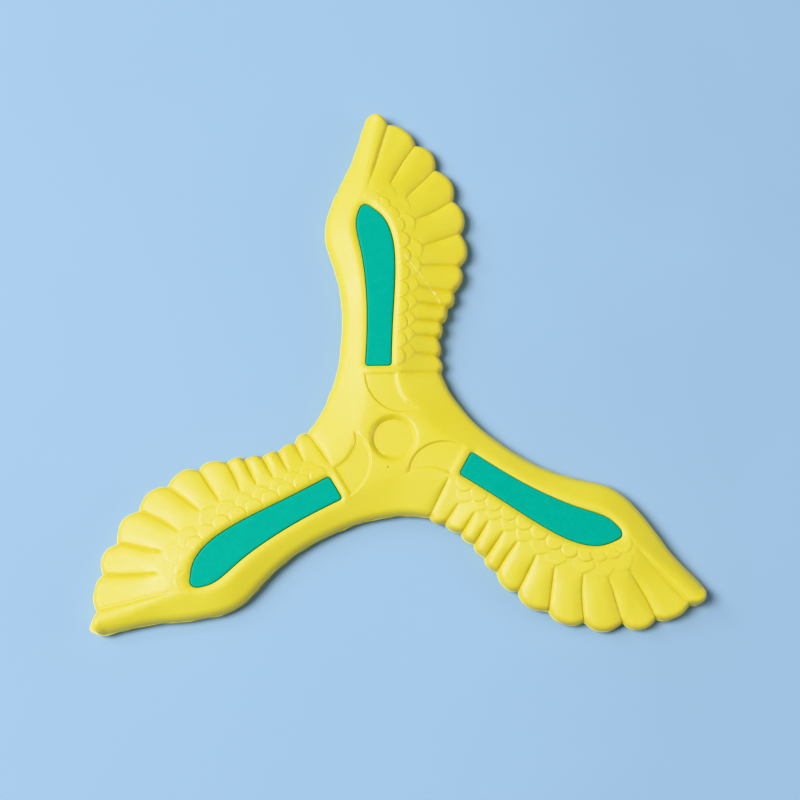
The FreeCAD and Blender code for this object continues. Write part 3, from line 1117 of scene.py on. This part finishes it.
class Sheet:
    """A node tree with short ways to add nodes and join their sockets."""

    def __init__(self, tree: bpy.types.NodeTree) -> None:
        """Keep the tree."""
        self.tree = tree

    @cached_property
    def place(self) -> bpy.types.NodeSocket:
        """The point being shaded, in its object's own coordinates."""
        return self.node("ShaderNodeTexCoord").outputs["Object"]

    def node(self, kind: str, **values: object) -> bpy.types.Node:
        """Add a node.

        Args:
            kind: The node's type.
            values: Each sets a property, or an input when no property has that name.

        Returns:
            The node.
        """
        made = self.tree.nodes.new(kind)
        for name, value in values.items():
            if hasattr(made, name):
                setattr(made, name, value)
            else:
                made.inputs[name.replace("_", " ")].default_value = value
        return made

    def effect(self, tree: bpy.types.NodeTree, **values: object) -> bpy.types.Node:
        """Add a node group with values for its inputs."""
        return self.node("ShaderNodeGroup", node_tree=tree, **values)

    def link(self, source: bpy.types.NodeSocket, target: bpy.types.NodeSocket) -> None:
        """Join an output to an input."""
        self.tree.links.new(source, target)

    def feed(self, sockets: Iterable[bpy.types.NodeSocket], values: Iterable[object]) -> None:
        """Give each input its value, by a link where the value is itself a socket."""
        for socket, value in zip(sockets, values):
            if isinstance(value, bpy.types.NodeSocket):
                self.link(value, socket)
            else:
                socket.default_value = value

    def maths(self, operation: str, *values: object, clamp: bool = False) -> bpy.types.NodeSocket:
        """A Math node's result, from numbers or sockets."""
        made = self.node("ShaderNodeMath", operation=operation, use_clamp=clamp)
        self.feed(made.inputs, values)
        return made.outputs[0]

    def vector(self, operation: str, *values: object) -> bpy.types.Node:
        """A Vector Math node, fed with vectors or sockets."""
        made = self.node("ShaderNodeVectorMath", operation=operation)
        self.feed(made.inputs, values)
        return made

    def spread(
        self, value: bpy.types.NodeSocket, low: float, high: float, to_low: float = 0.0, to_high: float = 1.0
    ) -> bpy.types.NodeSocket:
        """Map a value from one range to another, and hold it within that.

        Args:
            value: The value.
            low: Where its own range starts.
            high: Where its own range ends.
            to_low: What the start becomes.
            to_high: What the end becomes.

        Returns:
            The mapped value.
        """
        made = self.node("ShaderNodeMapRange", clamp=True)
        names = ("Value", "From Min", "From Max", "To Min", "To Max")
        self.feed((made.inputs[name] for name in names), (value, low, high, to_low, to_high))
        return made.outputs["Result"]

    def layer(
        self,
        under: bpy.types.NodeSocket | Colour,
        over: bpy.types.NodeSocket | Colour,
        share: bpy.types.NodeSocket | float,
    ) -> bpy.types.NodeSocket:
        """Lay one colour over another.

        Args:
            under: The colour below.
            over: The colour above.
            share: How much the upper one covers, from 0 to 1.

        Returns:
            The mixed colour.
        """
        made = self.node("ShaderNodeMix", data_type="RGBA")
        self.feed((made.inputs[i] for i in (6, 7, 0)), (under, over, share))
        return made.outputs[2]

    def texture(self, kind: str, scale: object, **values: object) -> bpy.types.Node:
        """A texture laid out in the object's own coordinates."""
        made = self.node(kind, **values)
        self.feed((made.inputs["Vector"], made.inputs["Scale"]), (self.place, scale))
        return made

    def attribute(self, name: str) -> bpy.types.NodeSocket:
        """The value of a mesh attribute."""
        return self.node("ShaderNodeAttribute", attribute_name=name).outputs["Fac"]

    def surface(self, shader: bpy.types.Node) -> None:
        """Put a shader on the surface."""
        self.link(shader.outputs[0], self.node("ShaderNodeOutputMaterial").inputs["Surface"])


def new_material(name: str) -> tuple[bpy.types.Material, Sheet]:
    """An empty material and its sheet."""
    material = bpy.data.materials.new(name)
    material.use_nodes = True
    material.node_tree.nodes.clear()
    return material, Sheet(material.node_tree)


def new_group(
    name: str, inputs: dict[str, float | Place], outputs: Iterable[str]
) -> tuple[Sheet, bpy.types.Node, bpy.types.Node]:
    """An empty shader node group.

    Args:
        name: The group's name.
        inputs: Each input's default by its name: a number or a vector.
        outputs: Names of the outputs, all of them numbers.

    Returns:
        The group's sheet and its input and output nodes.
    """
    tree = bpy.data.node_groups.new(name, "ShaderNodeTree")
    for label, default in inputs.items():
        kind = "NodeSocketFloat" if isinstance(default, float) else "NodeSocketVector"
        socket = tree.interface.new_socket(label, in_out="INPUT", socket_type=kind)
        socket.default_value = default
    for label in outputs:
        tree.interface.new_socket(label, in_out="OUTPUT", socket_type="NodeSocketFloat")
    sheet = Sheet(tree)
    return sheet, sheet.node("NodeGroupInput"), sheet.node("NodeGroupOutput")


def cell_grain_group() -> bpy.types.NodeTree:
    """Skin of a closed-cell foam: fine pebbling with sparse burst cells."""
    defaults = {"Cell Size": 0.0004, "Burst": 0.3}
    sheet, given, result = new_group("cell_grain", defaults, ("Height", "Cells"))
    per_metre = sheet.maths("DIVIDE", 1.0, given.outputs["Cell Size"])
    cells = sheet.texture("ShaderNodeTexVoronoi", per_metre, feature="SMOOTH_F1", Smoothness=0.6)
    coarser = sheet.maths("MULTIPLY", per_metre, 0.45)
    grit = sheet.texture("ShaderNodeTexNoise", coarser, Detail=3.0, Roughness=0.55)
    sparse = sheet.texture("ShaderNodeTexVoronoi", sheet.maths("MULTIPLY", per_metre, 0.21))
    burst = sheet.spread(sparse.outputs["Distance"], 0.05, 0.16, 1.0, 0.0)
    burst = sheet.maths("MULTIPLY", burst, given.outputs["Burst"])
    pebble = sheet.maths("MULTIPLY", cells.outputs["Distance"], 0.6)
    height = sheet.maths("ADD", pebble, sheet.maths("MULTIPLY", grit.outputs["Fac"], 0.7))
    sheet.link(sheet.maths("SUBTRACT", height, burst), result.inputs["Height"])
    sheet.link(sheet.maths("ADD", cells.outputs["Distance"], burst, clamp=True), result.inputs["Cells"])
    return sheet.tree


def mottling_group() -> bpy.types.NodeTree:
    """Soft uneven patches, as in moulded or calendered foam."""
    sheet, given, result = new_group("mottling", {"Patch Size": 0.02, "Contrast": 1.0}, ("Mask",))
    per_metre = sheet.maths("DIVIDE", 1.0, given.outputs["Patch Size"])
    noise = sheet.texture("ShaderNodeTexNoise", per_metre, Detail=4.0, Roughness=0.5, Distortion=0.4)
    centred = sheet.maths("SUBTRACT", noise.outputs["Fac"], 0.5)
    swing = sheet.maths("MULTIPLY", centred, sheet.maths("MULTIPLY", given.outputs["Contrast"], 3.0))
    sheet.link(sheet.maths("ADD", swing, 0.5, clamp=True), result.inputs["Mask"])
    return sheet.tree


def scuff_group() -> bpy.types.NodeTree:
    """Mask of a straight scratch between two places on the upper side."""
    defaults = {"From": (0.0, 0.0, 0.0), "To": (0.0, 0.01, 0.0), "Width": 0.0004}
    sheet, given, result = new_group("scuff_line", defaults, ("Mask",))
    wobble = sheet.texture("ShaderNodeTexNoise", 260.0, Detail=2.0).outputs["Fac"]
    flat = sheet.vector("MULTIPLY", sheet.place, (1.0, 1.0, 0.0)).outputs[0]
    gap = sheet.vector("SUBTRACT", flat, given.outputs["From"]).outputs[0]
    run = sheet.vector("SUBTRACT", given.outputs["To"], given.outputs["From"]).outputs[0]
    gone, whole = (sheet.vector("DOT_PRODUCT", way, run).outputs["Value"] for way in (gap, run))
    along = sheet.vector("SCALE", run)
    sheet.link(sheet.maths("DIVIDE", gone, whole, clamp=True), along.inputs["Scale"])
    across = sheet.vector("DISTANCE", gap, along.outputs[0]).outputs["Value"]
    uneven = sheet.maths("MULTIPLY", sheet.maths("SUBTRACT", wobble, 0.5), 0.0005)
    reach = sheet.maths("ABSOLUTE", sheet.maths("ADD", across, uneven))
    mask = sheet.spread(sheet.maths("DIVIDE", reach, given.outputs["Width"]), 0.5, 1.0, 1.0, 0.0)
    mask = sheet.maths("MULTIPLY", mask, sheet.spread(wobble, 0.3, 0.5))
    parts = sheet.node("ShaderNodeSeparateXYZ")
    sheet.link(sheet.place, parts.inputs[0])
    upper_side = sheet.maths("GREATER_THAN", parts.outputs["Z"], 0.005)
    sheet.link(sheet.maths("MULTIPLY", mask, upper_side), result.inputs["Mask"])
    return sheet.tree


@dataclass(frozen=True)
class Effects:
    """The node groups that the finishes share."""

    grain: bpy.types.NodeTree = field(default_factory=cell_grain_group)
    mottling: bpy.types.NodeTree = field(default_factory=mottling_group)
    scuff: bpy.types.NodeTree = field(default_factory=scuff_group)


class MarkKind(Enum):
    """What a mark on the skin is, with its colour."""

    SCRATCH = (0.92, 0.9, 0.5, 1.0)
    SPECK = (0.16, 0.12, 0.02, 1.0)


@dataclass(frozen=True)
class Mark:
    """A scratch or a speck on the foam's skin, by its two ends, in metres."""

    kind: MarkKind
    start: Place
    end: Place
    width: float
    strength: float = 1.0


@dataclass(frozen=True)
class FoamFinish:
    """A matte foam, either moulded with a skin or cut from sheet."""

    name: str
    colour: Colour
    deep: Colour  # a darker tone: random speckles, and painted shade in creases
    pale: Colour  # worn or stretched skin
    rim: Colour  # painted edge tint towards the outline: painted shade on the body, painted highlight on the inserts
    roughness: float
    cell_size: float
    burst: float
    bump: float  # depth of the grain, in metres
    gloss: float  # strength of the clear reflection, 0.5 for plain plastic
    scatter: float
    scatter_radius: Place
    # how far creases are darkened towards the deep tone, as painted shade
    painted_crease_shade: float
    index: float = 1.45
    patch: float = 0.03
    patch_share: float = 0.12
    marks: tuple[Mark, ...] = ()

    def make(self, effects: Effects) -> bpy.types.Material:
        """Build the material.

        Args:
            effects: The shared node groups.

        Returns:
            The material.
        """
        material, sheet = new_material(self.name)
        grain = sheet.effect(effects.grain, Cell_Size=self.cell_size, Burst=self.burst)
        patches = sheet.effect(effects.mottling, Patch_Size=self.patch).outputs["Mask"]
        crease = sheet.attribute("crease")
        colour = self.tones(sheet, effects, patches, crease)
        colour, height = self.marked(sheet, effects, colour, grain.outputs["Height"])
        bump = sheet.node("ShaderNodeBump", Strength=1.0, Distance=self.bump)
        sheet.link(height, bump.inputs["Height"])
        shine = sheet.maths("MULTIPLY", sheet.maths("SUBTRACT", patches, 0.5), 0.12)
        shine = sheet.maths("ADD", shine, self.roughness)
        shine = sheet.maths("ADD", shine, sheet.maths("MULTIPLY", crease, 0.1))
        shader = sheet.node(
            "ShaderNodeBsdfPrincipled",
            Subsurface_Weight=self.scatter,
            Subsurface_Radius=self.scatter_radius,
            Subsurface_Scale=1.0,
            IOR=self.index,
            Specular_IOR_Level=self.gloss,
            Sheen_Weight=0.05,
        )
        sheet.link(colour, shader.inputs["Base Color"])
        sheet.link(shine, shader.inputs["Roughness"])
        sheet.link(bump.outputs["Normal"], shader.inputs["Normal"])
        sheet.surface(shader)
        return material

    def tones(
        self, sheet: Sheet, effects: Effects, patches: bpy.types.NodeSocket, crease: bpy.types.NodeSocket
    ) -> bpy.types.NodeSocket:
        """The foam's colours: its own patches, speckles and flash, with painted shade in the creases and a
        painted tint along the rims.

        Args:
            sheet: The material's sheet.
            effects: The shared node groups.
            patches: Mask of the soft patches.
            crease: Mask of the creases.

        Returns:
            The colour.
        """
        fine = sheet.effect(effects.mottling, Patch_Size=self.cell_size * 4, Contrast=1.4)
        colour = sheet.layer(self.colour, self.pale, sheet.maths("MULTIPLY", patches, self.patch_share))
        speckled = sheet.maths("MULTIPLY", fine.outputs["Mask"], self.patch_share * 0.8)
        colour = sheet.layer(colour, self.deep, speckled)
        # painted edge tint: painted shade towards the body's outline, painted highlight along the inserts'
        # edges
        colour = sheet.layer(colour, self.rim, sheet.maths("MULTIPLY", sheet.attribute("rim"), 0.55))
        # painted shade: grooves, scale edges, recess rims, petal walls and the dish's floor edge darkened
        # towards the deep tone
        colour = sheet.layer(colour, self.deep, sheet.maths("MULTIPLY", crease, self.painted_crease_shade))
        return sheet.layer(colour, self.pale, sheet.attribute("flash"))

    def marked(
        self, sheet: Sheet, effects: Effects, colour: bpy.types.NodeSocket, height: bpy.types.NodeSocket
    ) -> tuple[bpy.types.NodeSocket, bpy.types.NodeSocket]:
        """Lay the scratches and specks over the foam.

        Args:
            sheet: The material's sheet.
            effects: The shared node groups.
            colour: The colour below them.
            height: The height below them.

        Returns:
            The colour and the height with them.
        """
        for mark in self.marks:
            line = sheet.effect(effects.scuff, From=mark.start, To=mark.end, Width=mark.width)
            seen = sheet.maths("MULTIPLY", line.outputs["Mask"], mark.strength)
            colour = sheet.layer(colour, mark.kind.value, seen)
            if mark.kind is MarkKind.SCRATCH:
                height = sheet.maths("ADD", height, seen)
        return colour, height


@dataclass(frozen=True)
class TapeFinish:
    """Milky double-sided adhesive film with faint streaks and trapped bubbles."""

    name: str = "adhesive_tape"
    colour: Colour = (0.62, 0.6, 0.5, 1.0)
    streak: Colour = (0.78, 0.77, 0.7, 1.0)
    streak_size: float = 0.006
    bubble_size: float = 0.0009

    def make(self, effects: Effects) -> bpy.types.Material:
        """Build the material from the shared node groups."""
        material, sheet = new_material(self.name)
        streaks = sheet.effect(effects.mottling, Patch_Size=self.streak_size).outputs["Mask"]
        bubbles = sheet.effect(effects.grain, Cell_Size=self.bubble_size)
        bump = sheet.node("ShaderNodeBump", Strength=0.6, Distance=0.00005)
        sheet.link(bubbles.outputs["Height"], bump.inputs["Height"])
        shader = sheet.node("ShaderNodeBsdfPrincipled")
        sheet.link(sheet.layer(self.colour, self.streak, streaks), shader.inputs["Base Color"])
        sheet.link(sheet.spread(streaks, 0.0, 1.0, 0.28, 0.5), shader.inputs["Roughness"])
        sheet.link(bump.outputs["Normal"], shader.inputs["Normal"])
        sheet.surface(shader)
        return material


@dataclass(frozen=True)
class BoardFinish:
    """Plain paint with faint large patches, for the table."""

    name: str = "painted_board"
    colour: Colour = (0.300, 0.452, 0.625, 1.0)
    patch: float = 0.12
    lighter: float = 1.04

    def make(self, effects: Effects) -> bpy.types.Material:
        """Build the material from the shared node groups."""
        material, sheet = new_material(self.name)
        patches = sheet.effect(effects.mottling, Patch_Size=self.patch).outputs["Mask"]
        pale = (*(min(part * self.lighter, 1.0) for part in self.colour[:3]), 1.0)
        shader = sheet.node("ShaderNodeBsdfPrincipled", Roughness=0.7)
        sheet.link(sheet.layer(self.colour, pale, patches), shader.inputs["Base Color"])
        sheet.surface(shader)
        return material


SKIN_FOAM = FoamFinish(
    name="yellow_skin_foam",
    colour=(0.71, 0.61, 0.042, 1.0),
    deep=(0.68, 0.52, 0.02, 1.0),
    pale=(0.75, 0.68, 0.10, 1.0),
    # painted shade: an orange tint towards the outline
    rim=(0.74, 0.55, 0.04, 1.0),
    roughness=0.47,
    gloss=0.85,
    index=1.52,
    cell_size=0.00035,
    burst=0.25,
    bump=0.00002,
    scatter=0.14,
    scatter_radius=(0.0025, 0.0012, 0.0003),
    # painted shade in the creases
    painted_crease_shade=0.35,
    marks=(
        Mark(MarkKind.SCRATCH, (0.0065, 0.0825, 0.0), (0.0197, 0.0650, 0.0), 0.00036, 0.45),
        Mark(MarkKind.SCRATCH, (0.0190, 0.0660, 0.0), (0.0198, 0.0648, 0.0), 0.0006, 0.5),
        Mark(MarkKind.SCRATCH, (0.0211, 0.0626, 0.0), (0.0218, 0.0612, 0.0), 0.0004, 0.5),
        Mark(MarkKind.SPECK, (-0.0027, -0.0129, 0.0), (-0.0026, -0.0127, 0.0), 0.0004),
        Mark(MarkKind.SPECK, (-0.0071, -0.0150, 0.0), (-0.0070, -0.0149, 0.0), 0.0002),
    ),
)
SHEET_FOAM = FoamFinish(
    name="teal_sheet_foam",
    colour=(0.0, 0.345, 0.255, 1.0),
    deep=(0.0, 0.30, 0.22, 1.0),
    pale=(0.0, 0.40, 0.30, 1.0),
    roughness=0.62,
    gloss=0.2,
    # painted highlight: paler teal along the insert's edges
    rim=(0.0, 0.42, 0.32, 1.0),
    cell_size=0.00045,
    burst=0.5,
    bump=0.00005,
    scatter=0.08,
    scatter_radius=(0.0006, 0.001, 0.001),
    painted_crease_shade=0.0,
    patch=0.004,
    patch_share=0.35,
)


# ---------------------------------------------------------------- studio


@dataclass(frozen=True)
class Lamp:
    """A soft rectangular lamp that faces the hub."""

    name: str
    place: Place  # in metres
    size: Point  # in metres
    watts: float
    tint: Place = (1.0, 1.0, 1.0)

    def hang(self) -> None:
        """Add the lamp to the scene."""
        data = bpy.data.lights.new(self.name, "AREA")
        data.shape, data.size, data.size_y = "RECTANGLE", *self.size
        data.energy, data.color = self.watts, self.tint
        lamp = bpy.data.objects.new(self.name, data)
        lamp.location = self.place
        lamp.rotation_euler = (-Vector(self.place)).to_track_quat("-Z", "Y").to_euler()
        bpy.context.collection.objects.link(lamp)


@dataclass
class Studio:
    """Plain pale table, soft light from the left and the camera above the boomerang."""

    lens: float = 80.2
    camera_place: Place = (-0.0319, -0.1531, 0.7656)
    right: Place = (0.9989, -0.0199, 0.0420)
    above: Place = (0.0102, 0.9754, 0.2201)
    sky: Colour = (0.72, 0.85, 1.0, 1.0)
    sky_strength: float = 0.27
    table_half: float = 3.0
    table_drop: float = 0.00005  # keeps the table clear of the foam's flat underside
    lamps: tuple[Lamp, ...] = (
        Lamp("softbox_left", (-1.27, 0.08, 1.80), (1.0, 1.0), 58.0),
        Lamp("softbox_low", (-1.60, 0.96, 1.18), (1.1, 0.9), 13.0),
        Lamp("fill_right", (2.05, -0.15, 0.62), (1.2, 0.7), 14.0, (1.0, 0.86, 0.64)),
    )

    def camera(self) -> None:
        """Place the camera by its position and the directions of its picture's sides."""
        data = bpy.data.cameras.new("camera")
        data.lens, data.sensor_width = self.lens, 36.0
        data.clip_start, data.clip_end = 0.05, 20.0
        camera = bpy.data.objects.new("camera", data)
        right = Vector(self.right).normalized()
        back = right.cross(Vector(self.above)).normalized()
        up = back.cross(right)
        turn = Matrix((right, up, back)).transposed().to_4x4()
        camera.matrix_world = Matrix.Translation(self.camera_place) @ turn
        bpy.context.collection.objects.link(camera)
        bpy.context.scene.camera = camera

    def room(self) -> None:
        """Set the even light from all round."""
        world = bpy.data.worlds.new("soft_room")
        world.use_nodes = True
        background = world.node_tree.nodes["Background"]
        background.inputs["Color"].default_value = self.sky
        background.inputs["Strength"].default_value = self.sky_strength
        bpy.context.scene.world = world
        bpy.context.scene.view_settings.view_transform = "Khronos PBR Neutral"

    def table(self, material: bpy.types.Material) -> None:
        """Lay a plain board under the boomerang."""
        mesh = bpy.data.meshes.new("table")
        half = self.table_half
        corners = [(-half, -half, 0), (half, -half, 0), (half, half, 0), (-half, half, 0)]
        mesh.from_pydata(corners, [], [(0, 1, 2, 3)])
        mesh.materials.append(material)
        board = bpy.data.objects.new("table", mesh)
        board.location.z = -self.table_drop
        bpy.context.collection.objects.link(board)

    def build(self, effects: Effects) -> None:
        """Add the camera, the lamps, the room's light and the table."""
        self.camera()
        for lamp in self.lamps:
            lamp.hang()
        self.room()
        self.table(BoardFinish().make(effects))


# ---------------------------------------------------------------- assembly


def millimetres(node: str, corner: int) -> float:
    """A level of a CAD node, in millimetres.

    Args:
        node: The node's name.
        corner: 0 for its lowest level, 1 for its highest.

    Returns:
        The level.
    """
    return float(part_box(node)[corner][2]) / MM


def dress(piece: bpy.types.Object, material: bpy.types.Material, node: str) -> None:
    """Give a foam piece its finish and say what it stands for.

    Args:
        piece: The piece.
        material: Its finish.
        node: The CAD node that it stands for.
    """
    piece.data.materials.append(material)
    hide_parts(node)
    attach(piece, "root")
    log.info("%s stands for %s: %d triangles", piece.name, node, len(piece.data.polygons))


def main() -> None:
    """Build the boomerang, its inserts and the studio."""
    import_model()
    effects = Effects()
    skin, pad, tape = (finish.make(effects) for finish in (SKIN_FOAM, SHEET_FOAM, TapeFinish()))
    plan = WingPlan()
    body = FoamBody(
        plan=plan,
        top=millimetres("foam_body", 1),
        insert_face=millimetres("insert_1", 1),
        recess_floor=millimetres("adhesive_film_1", 0),
    )
    dress(body.build(), skin, "foam_body")
    for wing in range(WINGS):
        node = f"insert_{wing + 1}"
        insert = FoamInsert(plan, wing, face=millimetres(node, 1), underside=millimetres(node, 0))
        dress(insert.build(), pad, node)
    for number in range(1, WINGS + 1):
        film = bpy.data.objects[f"adhesive_film_{number}"]
        film.data.materials.clear()
        film.data.materials.append(tape)
        log.info("%s keeps its CAD shape with the %s finish", film.name, tape.name)
    Studio().build(effects)


if __name__ == "__main__":
    main()
